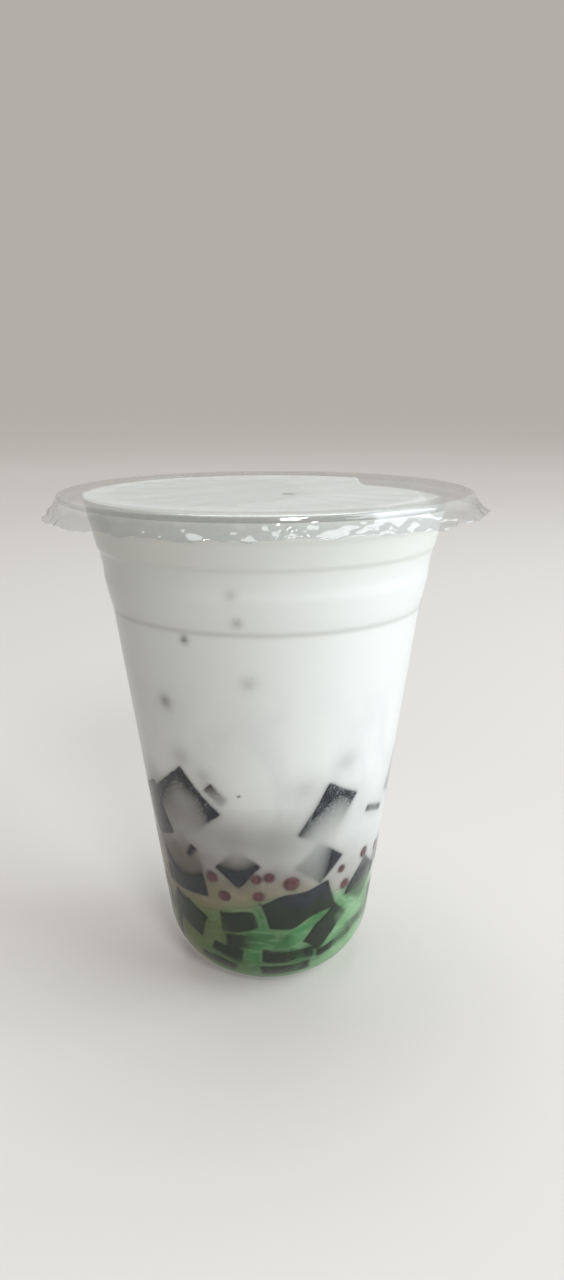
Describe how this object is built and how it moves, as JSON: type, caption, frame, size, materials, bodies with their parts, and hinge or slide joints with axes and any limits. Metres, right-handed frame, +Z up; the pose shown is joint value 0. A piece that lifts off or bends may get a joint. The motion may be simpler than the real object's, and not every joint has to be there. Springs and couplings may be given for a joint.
{
  "type": "iced milk drink with jelly cubes in a sealed cup",
  "caption": "Tapered clear take-away cup with a rounded base, heat-sealed film and a milky drink over green syrup, dark jelly cubes and small red pearls.",
  "frame": {"origin": "on the cup's axis, in the plane that its foot stands on", "axes": "+Z up along the cup's axis; -Y is the side seen in the main view, +X its right"},
  "size_m": [0.1016, 0.1018, 0.1192],
  "materials": {
    "clear_cup": "thin clear thermoformed plastic, slightly hazy",
    "clear_film": "clear glossy sealing film, crumpled at the cut edge",
    "milk": "opaque milky drink",
    "green_syrup": "milky green syrup",
    "dark_jelly": "wet dark jelly",
    "red_pearl": "wet dark red pearls"
  },
  "bodies": {
    "root": {"cup": "clear_cup", "film_lid": "clear_film", "milk": "milk", "green_syrup": "green_syrup"}
  },
  "joints": []
}
